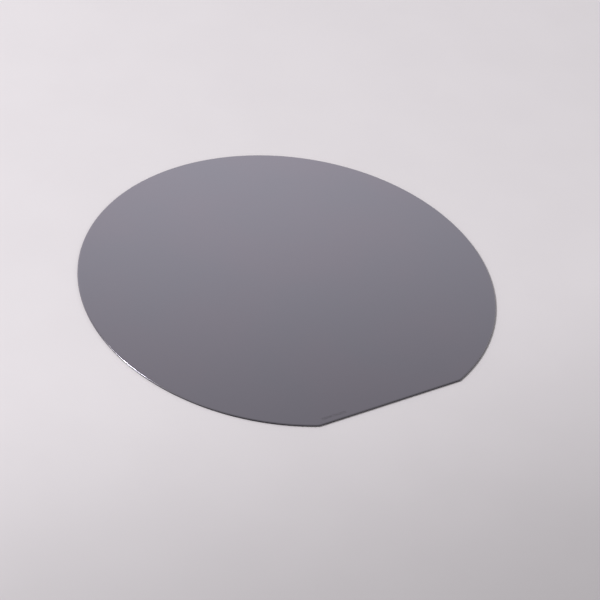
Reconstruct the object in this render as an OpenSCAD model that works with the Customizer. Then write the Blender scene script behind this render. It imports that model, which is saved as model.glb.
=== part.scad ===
// Silicon wafer: a thin round disc with one flat ground on its rim.
// It lies in the XY plane with its back face on z = 0 and its polished face up.
// The origin is the disc's centre on the back face, and the flat faces -Y.
// The whole edge is ground to one rounded profile, round the disc and along the flat.

/* [Disc] */
// Diameter across the round edge
wafer_d = 150; // [100:1:300]
// Thickness from the back face to the polished face
wafer_t = 0.675; // [0.45:0.005:1.5]

/* [Primary flat] */
// Length of the straight flat, between its two eased corners
flat_l = 56; // [10:0.5:90]
// Radius that eases each corner between the flat and the round edge
corner_r = 2.2; // [1:0.1:12]

/* [Ground edge] */
// Width of the bevel ground on each face, in from the rim
bevel_w = 0.36; // [0.1:0.01:0.8]
// Depth of each bevel at the rim, down from its face
bevel_h = 0.15; // [0.04:0.01:0.28]
// Radius that rounds each shoulder between a bevel and the rim's wall
shoulder_r = 0.195; // [0.05:0.005:0.25]
// Least height of rim wall left between the two shoulders
wall_min = 0.05; // [0.01:0.01:0.12]

/* [Hidden] */
// Steps in a full turn of the round edge, and of a shoulder
$fn = 240;
shoulder_steps = 48;

// Centre of each eased corner, mirrored to either side of the Y axis
disc_r = wafer_d / 2;
corner_x = flat_l / 2;
corner_y = sqrt(pow(disc_r - corner_r, 2) - pow(corner_x, 2));
// Distance from the disc's centre to the flat
flat_y = corner_y + corner_r;

// A shoulder turns from the bevel's slope to the upright wall, and uses up
// the same run of each: it is kept short of the bevel and of the wall's middle.
bevel_l = norm([bevel_w, bevel_h]);
half_turn = (90 - atan2(bevel_h, bevel_w)) / 2;
shoulder_run = min(shoulder_r * tan(half_turn), bevel_l, (wafer_t - wall_min) / 2 - bevel_h);
shoulder = shoulder_run / tan(half_turn);
wall_low = bevel_h + shoulder_run;

// How far in from the rim the edge's own section reaches, when a plate takes over
edge_depth = 2 * bevel_w;
// How far a cutting block reaches past the part
past = 1;

// Draws its child at the bottom, and again turned over at the top.
module both_faces() {
  children();
  translate([0, wafer_t]) mirror([0, 1]) children();
}

// The edge's section, with the rim's wall on x = 0 and the part's middle
// towards -X. The wafer's thickness runs up Y.
module edge_section(depth) {
  // Where the lower shoulder meets its bevel
  meet = shoulder_run / bevel_l * [-bevel_w, -bevel_h] + [0, bevel_h];
  polygon([
    [-depth, 0], [-bevel_w, 0], meet, [0, wall_low],
    [0, wafer_t - wall_low], [meet.x, wafer_t - meet.y], [-bevel_w, wafer_t], [-depth, wafer_t]
  ]);
  both_faces() translate([-shoulder, wall_low]) circle(shoulder, $fn = shoulder_steps);
}

// A disc of radius r with the ground edge all round.
module ground_disc(r) {
  rotate_extrude() translate([r, 0]) edge_section(edge_depth);
  cylinder(wafer_t, r = r - bevel_w);
}

// An upright block with a triangular plan, taller than the wafer.
module wedge(points) {
  translate([0, 0, -past]) linear_extrude(wafer_t + 2 * past) polygon(points);
}

// The disc, without the sector that the flat and its corners take up.
// The sector's sides run from the disc's centre through the corners' centres.
module round_stretch() {
  difference() {
    ground_disc(disc_r);
    wedge(2 * [[0, 0], [corner_x, -corner_y], [-corner_x, -corner_y]]);
  }
}

// One eased corner: the small disc that touches both the round edge and the
// flat from inside, between the places where it touches them.
module corner_stretch() {
  translate([corner_x, -corner_y]) intersection() {
    ground_disc(corner_r);
    wedge([[0, 0], [corner_x, -corner_y], [0, -corner_y]]);
  }
}

// The straight ground edge, back to the line through the corners' centres.
module flat_stretch() {
  translate([corner_x, -flat_y]) rotate([90, 0, -90])
    linear_extrude(flat_l) edge_section(corner_r);
}

// The plate between the disc's centre and that line.
module sector_plate() {
  linear_extrude(wafer_t) polygon([[0, 0], [corner_x, -corner_y], [-corner_x, -corner_y]]);
}

// The whole wafer, one piece of crystal.
module wafer() {
  color([0.5, 0.48, 0.52]) union() {
    round_stretch();
    sector_plate();
    flat_stretch();
    for (side = [0, 1]) mirror([side, 0]) corner_stretch();
  }
}

wafer();
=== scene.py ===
"""A polished silicon wafer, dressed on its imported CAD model, with a plain studio and camera.

The wafer is one piece of crystal. Its polished face, ground edge and etched back are one closed
mesh, swept round the disc and along the flat by Geometry Nodes, and a small strip of dots near
the flat stands where a laser marks such a wafer.
"""
import logging
import math
from collections.abc import Mapping, Sequence
from dataclasses import dataclass
from enum import Enum

import bpy
from mathutils import Matrix, Vector


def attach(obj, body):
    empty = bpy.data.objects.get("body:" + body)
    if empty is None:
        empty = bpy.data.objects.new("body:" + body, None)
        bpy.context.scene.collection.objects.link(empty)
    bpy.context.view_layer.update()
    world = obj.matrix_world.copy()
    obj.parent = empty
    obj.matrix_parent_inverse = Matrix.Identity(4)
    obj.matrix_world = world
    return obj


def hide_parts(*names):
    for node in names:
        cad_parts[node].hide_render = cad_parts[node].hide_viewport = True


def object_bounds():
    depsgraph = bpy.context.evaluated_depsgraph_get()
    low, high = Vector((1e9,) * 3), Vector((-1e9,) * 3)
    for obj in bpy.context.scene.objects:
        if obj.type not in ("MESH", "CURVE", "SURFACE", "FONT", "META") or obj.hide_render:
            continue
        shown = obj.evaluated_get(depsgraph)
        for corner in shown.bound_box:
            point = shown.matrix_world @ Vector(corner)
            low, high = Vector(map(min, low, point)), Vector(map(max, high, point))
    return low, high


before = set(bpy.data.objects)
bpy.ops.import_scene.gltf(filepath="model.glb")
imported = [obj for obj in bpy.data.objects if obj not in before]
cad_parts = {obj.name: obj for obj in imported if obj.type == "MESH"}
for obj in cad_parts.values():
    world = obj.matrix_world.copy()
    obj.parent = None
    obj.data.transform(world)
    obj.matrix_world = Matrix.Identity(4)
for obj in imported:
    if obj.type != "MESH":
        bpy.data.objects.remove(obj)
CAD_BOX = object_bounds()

LOG = logging.getLogger("wafer")
MM = 0.001
MICRON = 0.000001
Colour = tuple[float, float, float]
BLACK: Colour = (0.0, 0.0, 0.0)
FIRM_CLOUD = (0.35, 0.65)  # the noise values that turn into 0 and 1
SOFT_CLOUD = (0.3, 0.7)
ALMOST_ONE = 0.999


def direction(turn: float, height: float) -> Vector:
    """Return the unit vector at an angle from +X towards +Y, and at a height, in degrees."""
    turn, height = math.radians(turn), math.radians(height)
    flat = math.cos(height)
    return Vector((flat * math.cos(turn), flat * math.sin(turn), math.sin(height)))


# ---------------------------------------------------------------------------------------------
# Node trees written as expressions
# ---------------------------------------------------------------------------------------------
class Value:
    """One output socket, with arithmetic: an expression on Values adds its Math nodes."""

    def __init__(self, tree: "Tree", socket: bpy.types.NodeSocket) -> None:
        """Wrap a socket of a tree."""
        self.tree = tree
        self.socket = socket

    def output(self, name: str) -> "Value":
        """Return another output of the same node."""
        return self.tree.pick(self.socket.node, name)

    def __add__(self, other: "Term") -> "Value":
        """Return self + other."""
        return self.tree.maths("ADD", self, other)

    __radd__ = __add__

    def __sub__(self, other: "Term") -> "Value":
        """Return self - other."""
        return self.tree.maths("SUBTRACT", self, other)

    def __rsub__(self, other: "Term") -> "Value":
        """Return other - self."""
        return self.tree.maths("SUBTRACT", other, self)

    def __mul__(self, other: "Term") -> "Value":
        """Return self * other."""
        return self.tree.maths("MULTIPLY", self, other)

    __rmul__ = __mul__

    def __truediv__(self, other: "Term") -> "Value":
        """Return self / other."""
        return self.tree.maths("DIVIDE", self, other)

    def __lt__(self, other: "Term") -> "Value":
        """Return 1 where self is below other, and 0 elsewhere."""
        return self.tree.maths("LESS_THAN", self, other)

    def __gt__(self, other: "Term") -> "Value":
        """Return 1 where self is above other, and 0 elsewhere."""
        return self.tree.maths("GREATER_THAN", self, other)

    def abs(self) -> "Value":
        """Return the size of the value without its sign."""
        return self.tree.maths("ABSOLUTE", self)

    def floor(self) -> "Value":
        """Return the next whole number down."""
        return self.tree.maths("FLOOR", self)

    def sin(self) -> "Value":
        """Return the sine of an angle in radians."""
        return self.tree.maths("SINE", self)

    def cos(self) -> "Value":
        """Return the cosine of an angle in radians."""
        return self.tree.maths("COSINE", self)

    def clamped(self) -> "Value":
        """Return the value kept between 0 and 1."""
        return self.tree.node("ShaderNodeClamp", inputs={"Value": self})

    def ramp(self, low: float, high: float, at_low: float = 0.0, at_high: float = 1.0) -> "Value":
        """Turn the value smoothly from one level to another.

        Args:
            low: where the turn starts.
            high: where it ends.
            at_low: the level up to low.
            at_high: the level from high on.

        Returns:
            The smoothed level.
        """
        limits = {"Value": self, "From Min": low, "From Max": high, "To Min": at_low, "To Max": at_high}
        return self.tree.node("ShaderNodeMapRange", {"interpolation_type": "SMOOTHSTEP"}, limits)


Term = Value | float


class Tree:
    """A node tree that is filled by expressions."""

    def __init__(self, nodes: bpy.types.NodeTree) -> None:
        """Start on an empty or emptied tree."""
        self.nodes = nodes

    def pick(self, node: bpy.types.Node, out: str | int) -> Value:
        """Return one output of a node, by name or by place."""
        return Value(self, self._socket(node.outputs, out))

    def node(self, kind: str, settings: Mapping[str, object] | None = None,
             inputs: Mapping[str | int, object] | None = None, out: str | int = 0) -> Value:
        """Add any node.

        Args:
            kind: the node's type, such as "ShaderNodeTexNoise".
            settings: its own properties, which are set first because they can change its sockets.
            inputs: numbers, vectors, materials or Values for its sockets, by name or by place.
            out: the output that is returned, by name or by place.

        Returns:
            The chosen output of the new node.
        """
        made = self.nodes.nodes.new(kind)
        for name, setting in (settings or {}).items():
            setattr(made, name, setting)
        for name, value in (inputs or {}).items():
            socket = self._socket(made.inputs, name)
            if isinstance(value, Value):
                self.nodes.links.new(value.socket, socket)
            else:
                socket.default_value = value
        return self.pick(made, out) if made.outputs else Value(self, made.inputs[0])

    def maths(self, operation: str, *terms: Term) -> Value:
        """Add a Math node for one operation on one or two terms."""
        return self.node("ShaderNodeMath", {"operation": operation}, dict(enumerate(terms)))

    def vector(self, x: Term, y: Term, z: Term = 0.0) -> Value:
        """Join three numbers into a vector."""
        return self.node("ShaderNodeCombineXYZ", inputs={"X": x, "Y": y, "Z": z})

    def mix(self, share: Term, first: object, second: object) -> Value:
        """Blend two colours, from the first at 0 to the second at 1."""
        colours = {"Factor": share, "A": _opaque(first), "B": _opaque(second)}
        return self.node("ShaderNodeMix", {"data_type": "RGBA"}, colours, "Result")

    @staticmethod
    def _socket(sockets: Sequence[bpy.types.NodeSocket], key: str | int) -> bpy.types.NodeSocket:
        """Find a socket by place, or by name among those in use.

        Args:
            sockets: a node's inputs or outputs.
            key: the socket's name, or its place among those in use.

        Returns:
            The socket.

        Raises:
            KeyError: if no socket in use has that name.
        """
        used = [socket for socket in sockets if socket.enabled]
        if isinstance(key, int):
            return used[key]
        for socket in used:
            if socket.name == key:
                return socket
        raise KeyError(f"no socket {key!r} among {[socket.name for socket in used]}")


def _opaque(colour: object) -> object:
    """Give a plain colour its fourth number, and leave a Value as it is."""
    return (*colour, 1.0) if isinstance(colour, tuple) and len(colour) == 3 else colour


class Recipe:
    """A Geometry Nodes tree with named sizes, and the plain mesh that it makes."""

    def __init__(self, name: str, sizes: Mapping[str, float]) -> None:
        """Start a tree whose inputs are the given sizes.

        Args:
            name: the tree's name.
            sizes: each input's name and the number that it is given.
        """
        group = bpy.data.node_groups.new(name, "GeometryNodeTree")
        group.interface.new_socket("Geometry", in_out="OUTPUT", socket_type="NodeSocketGeometry")
        self._given: dict[str, float] = {}
        for label, number in sizes.items():
            socket = group.interface.new_socket(label, in_out="INPUT", socket_type="NodeSocketFloat")
            self._given[socket.identifier] = number
        self.tree = Tree(group)
        self._inputs = group.nodes.new("NodeGroupInput")

    def size(self, name: str) -> Value:
        """Return the input with that name."""
        return self.tree.pick(self._inputs, name)

    def make(self, shape: Value, name: str) -> bpy.types.Object:
        """Run the tree once and keep its result as a plain mesh.

        Args:
            shape: the geometry that leaves the tree.
            name: the new object's name.

        Returns:
            The object, with no modifier left on it.
        """
        self.tree.node("NodeGroupOutput", inputs={"Geometry": shape})
        made = bpy.data.objects.new(name, bpy.data.meshes.new(name))
        bpy.context.scene.collection.objects.link(made)
        modifier = made.modifiers.new(name, "NODES")
        modifier.node_group = self.tree.nodes
        for identifier, number in self._given.items():
            modifier[identifier] = number
        evaluated = made.evaluated_get(bpy.context.evaluated_depsgraph_get())
        mesh = bpy.data.meshes.new_from_object(evaluated)
        if mesh.materials[0] is None:
            mesh.materials.pop(index=0)
        made.modifiers.clear()
        made.data = mesh
        mesh.name = name
        return made


# ---------------------------------------------------------------------------------------------
# Finishes
# ---------------------------------------------------------------------------------------------
def new_material(name: str) -> tuple[bpy.types.Material, Tree]:
    """Make a material with an empty node tree.

    Args:
        name: the material's name.

    Returns:
        The material and its tree.
    """
    material = bpy.data.materials.new(name)
    material.use_nodes = True
    material.node_tree.nodes.clear()
    return material, Tree(material.node_tree)


def noise(tree: Tree, where: Value, scale: float, detail: float = 2.0) -> Value:
    """Return a cloudy value about 0.5.

    Args:
        tree: the material's tree.
        where: the coordinates, in metres.
        scale: clouds per metre.
        detail: octaves of finer cloud.

    Returns:
        The cloud's value.
    """
    return tree.node("ShaderNodeTexNoise", inputs={"Vector": where, "Scale": scale, "Detail": detail})


def surface(tree: Tree, sockets: Mapping[str, object]) -> None:
    """Close a material with a Principled surface that has the given sockets."""
    shader = tree.node("ShaderNodeBsdfPrincipled", inputs=sockets)
    tree.node("ShaderNodeOutputMaterial", inputs={"Surface": shader})


@dataclass(frozen=True)
class PolishedSilicon:
    """The mirror face: silicon's violet grey, with the faintest haze left by the last polish."""

    colour: Colour = (0.372, 0.346, 0.41)
    cool: Colour = (0.362, 0.346, 0.41)
    cloud_scale: float = 22.0
    roughness: float = 0.025
    haze: float = 0.02
    haze_scale: float = 60.0
    haze_detail: float = 4.0

    def material(self) -> bpy.types.Material:
        """Build the material."""
        made, tree = new_material("polished_silicon")
        where = tree.node("ShaderNodeTexCoord", out="Object")
        cloud = noise(tree, where, self.cloud_scale).ramp(*FIRM_CLOUD)
        haze = noise(tree, where, self.haze_scale, self.haze_detail).ramp(*SOFT_CLOUD)
        surface(tree, {
            "Base Color": tree.mix(cloud, self.colour, self.cool),
            "Metallic": 1.0,
            "Roughness": self.roughness + haze * self.haze,
        })
        return made


@dataclass(frozen=True)
class GroundSilicon:
    """The ground edge: a satin bevel and a near-black rim, partly a dull ground finish and partly
    painted shade along the edge, with grinding lines that run along it.
    """

    bevel: Colour = (0.37, 0.347, 0.405)
    # Painted shade: the rim's near-black is partly a duller ground finish and partly painted shade for
    # the dark line of shade and dark reflection along the edge.
    rim: Colour = (0.03, 0.028, 0.032)
    worn: float = 0.14
    shaded_rim_ends: float = 0.15 * MM
    bevel_starts: float = 0.28 * MM
    line_pitch: float = 16 * MICRON
    line_length: float = 12 * MM
    line_detail: float = 3.0
    roughness: float = 0.175
    roughness_spread: float = 0.03
    line_depth: float = 0.25 * MICRON

    def material(self) -> bpy.types.Material:
        """Build the material, on the edge's own map of lengths along and across it."""
        made, tree = new_material("ground_silicon")
        edge = tree.node("ShaderNodeUVMap", {"uv_map": EDGE_MAP})
        across = tree.node("ShaderNodeSeparateXYZ", inputs={"Vector": edge}, out="Y").abs()
        stretch = tree.node("ShaderNodeMapping", {"vector_type": "POINT"}, {
            "Vector": edge, "Scale": (1 / self.line_length, 1 / self.line_pitch, 1.0)})
        lines = noise(tree, stretch, 1.0, self.line_detail)
        mask = lines.ramp(*FIRM_CLOUD)
        # Painted shade: near the wall's middle the edge takes the near-black rim colour, then turns to
        # the bevel's own colour further out.
        section = tree.mix(across.ramp(self.shaded_rim_ends, self.bevel_starts), self.rim, self.bevel)
        bump = tree.node("ShaderNodeBump", inputs={
            "Strength": 1.0, "Distance": self.line_depth, "Height": lines})
        surface(tree, {
            "Base Color": tree.mix(mask * self.worn, section, BLACK),
            "Metallic": 1.0,
            "Roughness": self.roughness + mask * self.roughness_spread,
            "Normal": bump,
        })
        return made


@dataclass(frozen=True)
class EtchedSilicon:
    """The back: lapped and acid etched, an even satin of shallow overlapping pits."""

    colour: Colour = (0.33, 0.325, 0.345)
    pitted: Colour = (0.27, 0.265, 0.285)
    pit_scale: float = 9000.0
    pit_smoothness: float = 0.6
    pit_share: float = 0.4
    patch_scale: float = 40.0
    patch_detail: float = 3.0
    patch_share: float = 0.6
    roughness: float = 0.34
    roughness_spread: float = 0.1
    pit_depth: float = 2.5 * MICRON

    def material(self) -> bpy.types.Material:
        """Build the material."""
        made, tree = new_material("etched_silicon")
        where = tree.node("ShaderNodeTexCoord", out="Object")
        pits = tree.node("ShaderNodeTexVoronoi", {"feature": "SMOOTH_F1"}, {
            "Vector": where, "Scale": self.pit_scale,
            "Smoothness": self.pit_smoothness}, "Distance")
        patch = noise(tree, where, self.patch_scale, self.patch_detail).ramp(*SOFT_CLOUD)
        bump = tree.node("ShaderNodeBump", inputs={
            "Strength": 1.0, "Distance": self.pit_depth, "Height": pits})
        worn = patch * self.patch_share + pits * self.pit_share
        surface(tree, {
            "Base Color": tree.mix(worn, self.colour, self.pitted),
            "Metallic": 1.0,
            "Roughness": self.roughness + patch * self.roughness_spread,
            "Normal": bump,
        })
        return made


@dataclass(frozen=True)
class MeltedSilicon:
    """The laser's dots: silicon that melted and froze, dull and darker than the face."""

    colour: Colour = (0.08, 0.076, 0.085)
    bright: Colour = (0.17, 0.162, 0.18)
    grain_scale: float = 30000.0
    roughness: float = 0.35
    roughness_spread: float = 0.2

    def material(self) -> bpy.types.Material:
        """Build the material."""
        made, tree = new_material("melted_silicon")
        grain = noise(tree, tree.node("ShaderNodeTexCoord", out="Object"), self.grain_scale)
        mask = grain.ramp(*FIRM_CLOUD)
        surface(tree, {
            "Base Color": tree.mix(mask, self.colour, self.bright),
            "Metallic": 1.0,
            "Roughness": self.roughness + mask * self.roughness_spread,
        })
        return made


@dataclass(frozen=True)
class PaperFloor:
    """The pale sheet that everything stands on, matt and very slightly mottled, with painted shade that
    darkens its colour towards the camera's side.
    """

    colour: Colour = (0.76, 0.72, 0.75)
    shade: Colour = (0.748, 0.708, 0.738)
    mottle_scale: float = 30.0
    grain_scale: float = 900.0
    detail: float = 3.0
    grain_depth: float = 30 * MICRON
    grain_strength: float = 0.4
    roughness: float = 0.9
    specular: float = 0.2
    # Painted shade: the direction, span and strength of the floor's darkening towards the camera's
    # side.
    painted_shade_turn: float = -97.0
    painted_shade_from: float = 0.017
    painted_shade_to: float = 0.19
    painted_shade_share: float = 0.366

    def material(self) -> bpy.types.Material:
        """Build the material."""
        made, tree = new_material("paper_floor")
        where = tree.node("ShaderNodeTexCoord", out="Object")
        grain = noise(tree, where, self.grain_scale, self.detail)
        mottle = noise(tree, where, self.mottle_scale, self.detail).ramp(*SOFT_CLOUD)
        parts = tree.node("ShaderNodeSeparateXYZ", inputs={"Vector": where})
        away = direction(self.painted_shade_turn, 0.0)
        along = parts.output("X") * away.x + parts.output("Y") * away.y
        # Painted shade: the floor's colour darkens along one fixed direction, towards the camera's
        # side, standing in for light falling off there.
        painted_shade = along.ramp(self.painted_shade_from, self.painted_shade_to, 0.0, self.painted_shade_share)
        bump = tree.node("ShaderNodeBump", inputs={
            "Strength": self.grain_strength, "Distance": self.grain_depth, "Height": grain})
        surface(tree, {
            "Base Color": tree.mix(painted_shade, tree.mix(mottle, self.colour, self.shade), BLACK),
            "Roughness": self.roughness,
            "Specular IOR Level": self.specular,
            "Normal": bump,
        })
        return made


class Finish(Enum):
    """The finishes of the wafer and of what it lies on."""

    POLISHED = PolishedSilicon()
    GROUND = GroundSilicon()
    ETCHED = EtchedSilicon()
    MELTED = MeltedSilicon()
    PAPER = PaperFloor()


# ---------------------------------------------------------------------------------------------
# The wafer
# ---------------------------------------------------------------------------------------------
EDGE_MAP = "edge_map"
BODY = "root"
NODE = "wafer"


@dataclass(frozen=True)
class WaferBlank:
    """The whole crystal: two flat faces and one ground edge, as one closed mesh.

    The outline is a flat, an eased corner, the round stretch and the other corner. Every point
    of it stands off a centre by a radius along a direction, and the edge's section is set in
    from there along the same direction.
    """

    radius: float
    thickness: float
    flat_distance: float
    corner_radius: float = 2.2 * MM
    bevel_width: float = 0.36 * MM
    bevel_depth: float = 0.15 * MM
    shoulder_radius: float = 0.195 * MM
    flat_steps: int = 64
    corner_steps: int = 10
    round_steps: int = 720
    face_rings: int = 6
    bevel_steps: int = 2
    shoulder_steps: int = 8

    @property
    def corner_y(self) -> float:
        """Distance of the corners' centres from the disc's centre, towards the flat."""
        return self.flat_distance - self.corner_radius

    @property
    def corner_x(self) -> float:
        """Distance of the corners' centres to either side."""
        return math.sqrt((self.radius - self.corner_radius) ** 2 - self.corner_y ** 2)

    def build(self) -> bpy.types.Object:
        """Sweep the edge's section round the outline and dress the three surfaces.

        Returns:
            The wafer as one closed mesh.
        """
        recipe = Recipe("wafer_blank", {
            "Disc radius": self.radius,
            "Thickness": self.thickness,
            "Corner x": self.corner_x,
            "Corner y": self.corner_y,
            "Corner radius": self.corner_radius,
            "Bevel width": self.bevel_width,
            "Bevel depth": self.bevel_depth,
            "Shoulder radius": self.shoulder_radius,
        })
        tree = recipe.tree
        half_steps = self.face_rings + self.bevel_steps + self.shoulder_steps + 1
        stations = 2 * half_steps + 1
        samples = self.flat_steps + 2 * self.corner_steps + self.round_steps

        index = tree.node("GeometryNodeInputIndex")
        sample = (index / float(stations) + 0.5 / stations).floor()
        station = index - sample * float(stations)
        along = self._along(recipe, sample)
        across = self._across(recipe, station, half_steps)

        reach = along["radius"] - across["inset"]
        x = across["share"] * (along["x"] + reach * along["turn"].cos())
        y = across["share"] * (along["y"] + reach * along["turn"].sin())
        grid = tree.node("GeometryNodeMeshGrid", inputs={
            "Vertices X": samples + 1, "Vertices Y": stations})
        swept = tree.node("GeometryNodeSetPosition", inputs={
            "Geometry": grid, "Position": tree.vector(x, y, across["height"])})

        # The map is held by the faces' corners, so that it keeps both of its ends at the seam.
        lengths = tree.node("GeometryNodeFieldOnDomain", {
            "data_type": "FLOAT_VECTOR", "domain": "POINT"}, {
            "Value": tree.vector(along["length"], across["length"])})
        mapped = tree.node("GeometryNodeStoreNamedAttribute", {
            "data_type": "FLOAT2", "domain": "CORNER"}, {
            "Geometry": swept, "Name": EDGE_MAP, "Value": lengths})
        return self._finished(recipe, mapped)

    def _along(self, recipe: Recipe, sample: Value) -> dict[str, Value]:
        """Work out the outline at one of its samples.

        Args:
            recipe: the tree's recipe.
            sample: the sample's number, from the flat's left end round to it again.

        Returns:
            The local centre, its radius, the direction outwards and the length so far.
        """
        size = recipe.size
        corner_end = self.flat_steps + self.corner_steps
        round_end = corner_end + self.round_steps
        on_flat = (sample / self.flat_steps).clamped()
        on_corner = ((sample - self.flat_steps) / self.corner_steps).clamped()
        on_round = ((sample - corner_end) / self.round_steps).clamped()
        on_last = ((sample - round_end) / self.corner_steps).clamped()
        turn = recipe.tree.maths("ARCTAN2", size("Corner x"), size("Corner y"))
        round_turn = math.tau - 2.0 * turn
        is_round = (sample > corner_end - 0.5) * (sample < round_end + 0.5)
        is_last = sample > round_end + 0.5
        small = size("Corner radius")
        return {
            "x": (1.0 - is_round) * size("Corner x") * (2.0 * on_flat - 1.0 - 2.0 * is_last),
            "y": (is_round - 1.0) * size("Corner y"),
            "radius": small + is_round * (size("Disc radius") - small),
            "turn": turn * (on_corner + on_last) + round_turn * on_round - math.pi / 2,
            "length": (2.0 * size("Corner x") * on_flat + small * turn * (on_corner + on_last)
                       + size("Disc radius") * round_turn * on_round),
        }

    def _across(self, recipe: Recipe, station: Value, half_steps: int) -> dict[str, Value]:
        """Work out the section at one of its stations, from the top face's centre to the back's.

        Args:
            recipe: the tree's recipe.
            station: the station's number.
            half_steps: the station at the middle of the rim's wall.

        Returns:
            How far in from the rim it is, its height, its share of the way out from the centre
            and its length from the wall's middle.
        """
        size = recipe.size
        below = station > float(half_steps)
        from_face = float(half_steps) - (station - float(half_steps)).abs()
        share = (from_face / self.face_rings).clamped()
        on_bevel = ((from_face - self.face_rings) / self.bevel_steps).clamped()
        bevel_end = float(self.face_rings + self.bevel_steps)
        on_shoulder = ((from_face - bevel_end) / self.shoulder_steps).clamped()
        on_wall = (from_face - bevel_end - self.shoulder_steps).clamped()

        # The shoulder turns from the bevel's slope to the wall, and touches both.
        half = size("Thickness") * 0.5
        upright = recipe.tree.maths("ARCTAN2", size("Bevel width"), size("Bevel depth"))
        run = size("Shoulder radius") * recipe.tree.maths("TANGENT", upright * 0.5)
        wall_start = size("Bevel depth") + run
        lean = upright * (1.0 - on_shoulder)
        full = size("Shoulder radius")
        past_bevel = on_bevel > ALMOST_ONE
        meet_inset = full * (1.0 - upright.cos())
        meet_depth = wall_start - full * upright.sin()
        bevel_inset = size("Bevel width") + on_bevel * (meet_inset - size("Bevel width"))
        inset = bevel_inset + past_bevel * (full * (1.0 - lean.cos()) - bevel_inset)
        round_depth = wall_start - full * lean.sin() + on_wall * (half - wall_start)
        depth = on_bevel * meet_depth + past_bevel * (round_depth - on_bevel * meet_depth)
        mirrored = 1.0 - 2.0 * below
        return {
            "inset": inset,
            "height": half + mirrored * (half - depth),
            "share": share,
            "length": mirrored * (half - depth + inset),
        }

    def _finished(self, recipe: Recipe, mapped: Value) -> bpy.types.Object:
        """Close the sweep's seam and centres, and give each surface its material.

        Args:
            recipe: the tree's recipe.
            mapped: the swept grid.

        Returns:
            The finished object.
        """
        tree = recipe.tree
        outward = tree.node("GeometryNodeFlipFaces", inputs={"Mesh": mapped})
        closed = tree.node("GeometryNodeMergeByDistance", inputs={
            "Geometry": outward, "Distance": MICRON})
        facing = tree.node("GeometryNodeInputNormal")
        upward = tree.node("ShaderNodeSeparateXYZ", inputs={"Vector": facing}, out="Z")
        level = math.cos(math.atan2(self.bevel_depth, self.bevel_width) / 2.0)
        shaded = tree.node("GeometryNodeSetShadeSmooth", inputs={
            "Geometry": closed, "Shade Smooth": upward.abs() < level})
        dressed = tree.node("GeometryNodeRealizeInstances", inputs={"Geometry": shaded})
        surfaces = (
            (Finish.GROUND, upward.abs() < level),
            (Finish.POLISHED, upward > level),
            (Finish.ETCHED, upward < -level),
        )
        for finish, where in surfaces:
            dressed = tree.node("GeometryNodeSetMaterial", inputs={
                "Geometry": dressed, "Selection": where, "Material": finish.value.material()})
        return recipe.make(dressed, "wafer_crystal")


@dataclass(frozen=True)
class LaserMark:
    """A short strip of laser dots beside the flat, in no pattern that can be read."""

    face_height: float
    flat_distance: float
    left: float = -26.1 * MM
    inset: float = 1.8 * MM
    columns: int = 60
    rows: int = 7
    pitch: float = 0.16 * MM
    dot_radius: float = 0.066 * MM
    dot_height: float = 1.5 * MICRON
    dot_sides: int = 12
    dome_steps: int = 2
    top_share: float = 0.45
    sunk: float = 1.0 * MICRON
    filled: float = 0.75
    seed: int = 7

    def build(self) -> bpy.types.Object:
        """Set a low frozen dome on a random share of the strip's cells.

        Returns:
            The dots as one mesh.
        """
        width = (self.columns - 1) * self.pitch
        height = (self.rows - 1) * self.pitch
        recipe = Recipe("laser_mark", {
            "Width": width,
            "Height": height,
            "Centre x": self.left + width / 2,
            "Centre y": -self.flat_distance + self.inset + height / 2,
            "Face height": self.face_height - self.sunk,
            "Dot radius": self.dot_radius,
            "Dot height": self.dot_height + self.sunk,
            "Filled share": self.filled,
        })
        tree = recipe.tree
        cells = tree.node("GeometryNodeMeshGrid", inputs={
            "Size X": recipe.size("Width"), "Size Y": recipe.size("Height"),
            "Vertices X": self.columns, "Vertices Y": self.rows})
        placed = tree.node("GeometryNodeTransform", inputs={
            "Geometry": cells, "Translation": tree.vector(
                recipe.size("Centre x"), recipe.size("Centre y"), recipe.size("Face height"))})
        chance = tree.node("FunctionNodeRandomValue", {"data_type": "FLOAT"}, {
            "Min": 0.0, "Max": 1.0, "Seed": self.seed}, "Value")
        dome = tree.node("GeometryNodeMeshCone", inputs={
            "Vertices": self.dot_sides, "Side Segments": self.dome_steps,
            "Radius Top": recipe.size("Dot radius") * self.top_share,
            "Radius Bottom": recipe.size("Dot radius"),
            "Depth": recipe.size("Dot height")})
        dots = tree.node("GeometryNodeInstanceOnPoints", inputs={
            "Points": placed, "Instance": dome, "Selection": chance < recipe.size("Filled share")})
        real = tree.node("GeometryNodeRealizeInstances", inputs={"Geometry": dots})
        dressed = tree.node("GeometryNodeSetMaterial", inputs={
            "Geometry": real, "Material": Finish.MELTED.value.material()})
        return recipe.make(dressed, "laser_mark")


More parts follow.
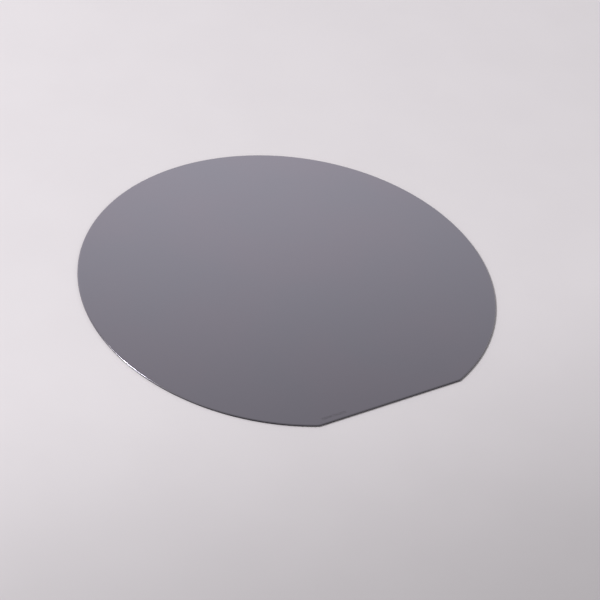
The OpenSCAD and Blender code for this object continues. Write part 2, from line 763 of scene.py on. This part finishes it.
# ---------------------------------------------------------------------------------------------
# The studio
# ---------------------------------------------------------------------------------------------
@dataclass(frozen=True)
class Studio:
    """A pale floor, one soft lamp and a cove whose walls fade to a dimmer ceiling."""

    wall_colour: Colour = (1.0, 1.0, 1.0)
    floor_half: float = 6.0
    floor_gap: float = 2 * MICRON
    lamp_turn: float = 147.5
    lamp_height: float = 44.7
    lamp_distance: float = 1.6
    lamp_size: float = 0.34
    lamp_watts: float = 18.6
    wall_level: float = 0.71
    ceiling_level: float = 0.35
    wall_ends: float = 0.57
    ceiling_starts: float = 0.711
    bright_turn: float = 127.9
    side_from: float = 0.065
    side_to: float = 0.3
    dim_side: float = 0.8
    bright_side: float = 1.176

    def build_floor(self) -> bpy.types.Object:
        """Lay the floor just under the wafer."""
        level = CAD_BOX[0][2] - self.floor_gap
        half = self.floor_half
        mesh = bpy.data.meshes.new("floor")
        corners = [
            (-half, -half, level), (half, -half, level),
            (half, half, level), (-half, half, level),
        ]
        mesh.from_pydata(corners, [], [(0, 1, 2, 3)])
        mesh.materials.append(Finish.PAPER.value.material())
        floor = bpy.data.objects.new("floor", mesh)
        bpy.context.scene.collection.objects.link(floor)
        return floor

    def build_lamp(self) -> bpy.types.Object:
        """Hang the soft lamp and point it at the wafer's middle."""
        data = bpy.data.lights.new("softbox", "AREA")
        data.shape = "DISK"
        data.size = self.lamp_size
        data.energy = self.lamp_watts
        lamp = bpy.data.objects.new("softbox", data)
        towards = direction(self.lamp_turn, self.lamp_height)
        lamp.location = towards * self.lamp_distance
        lamp.rotation_euler = towards.to_track_quat("Z", "Y").to_euler()
        bpy.context.scene.collection.objects.link(lamp)
        return lamp

    def build_cove(self) -> bpy.types.World:
        """Light the room: pale walls, brighter on the lamp's side, under a dimmer ceiling."""
        world = bpy.data.worlds.new("cove")
        world.use_nodes = True
        world.node_tree.nodes.clear()
        tree = Tree(world.node_tree)
        ray = tree.node("ShaderNodeTexCoord", out="Generated")
        parts = tree.node("ShaderNodeSeparateXYZ", inputs={"Vector": ray})
        up = parts.output("Z")
        bright = direction(self.bright_turn, 0.0)
        side = parts.output("X") * bright.x + parts.output("Y") * bright.y
        wall = up.ramp(self.wall_ends, self.ceiling_starts, self.wall_level, self.ceiling_level)
        level = wall * side.ramp(self.side_from, self.side_to, self.dim_side, self.bright_side)
        light = tree.node("ShaderNodeBackground", inputs={
            "Color": _opaque(self.wall_colour), "Strength": level})
        tree.node("ShaderNodeOutputWorld", inputs={"Surface": light})
        bpy.context.scene.world = world
        return world


@dataclass(frozen=True)
class Viewpoint:
    """The camera, by the direction that it looks from, how far off it is and how it leans."""

    turn: float = -126.023
    height: float = 39.590
    lean: float = 8.511
    distance: float = 0.8142
    angle: float = 14.863
    aim: tuple[float, float] = (-1.402 * MM, -10.826 * MM)
    nearest: float = 10 * MM

    def build(self) -> bpy.types.Object:
        """Place the camera and make it the scene's."""
        data = bpy.data.cameras.new("camera")
        data.angle = math.radians(self.angle)
        data.clip_start = self.nearest
        camera = bpy.data.objects.new("camera", data)
        back = direction(self.turn, self.height)
        aim = Vector((self.aim[0], self.aim[1], CAD_BOX[1][2]))
        spin = back.to_track_quat("Z", "Y").to_matrix().to_4x4()
        lean = Matrix.Rotation(math.radians(self.lean), 4, "Z")
        camera.matrix_world = Matrix.Translation(aim + back * self.distance) @ spin @ lean
        bpy.context.scene.collection.objects.link(camera)
        bpy.context.scene.camera = camera
        return camera


# ---------------------------------------------------------------------------------------------
# Putting it together
# ---------------------------------------------------------------------------------------------
def join_frame(piece: bpy.types.Object, replaces: bool) -> None:
    """Let a piece ride on the wafer's body.

    Args:
        piece: the new piece.
        replaces: whether it stands for the CAD solid.
    """
    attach(piece, BODY)
    if replaces:
        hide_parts(NODE)
    LOG.info("%s: %d faces", piece.name, len(piece.data.polygons))


def main() -> None:
    """Build the wafer, its mark, the studio and the camera."""
    logging.basicConfig(level=logging.INFO, format="%(name)s: %(message)s")
    low, high = CAD_BOX
    blank = WaferBlank(
        radius=(high[0] - low[0]) / 2,
        thickness=high[2] - low[2],
        flat_distance=-low[1],
    )
    join_frame(blank.build(), replaces=True)
    mark = LaserMark(face_height=high[2], flat_distance=blank.flat_distance)
    join_frame(mark.build(), replaces=False)

    studio = Studio()
    studio.build_floor()
    studio.build_lamp()
    studio.build_cove()
    Viewpoint().build()
    bpy.context.scene.view_settings.view_transform = "Standard"


if __name__ == "__main__":
    main()
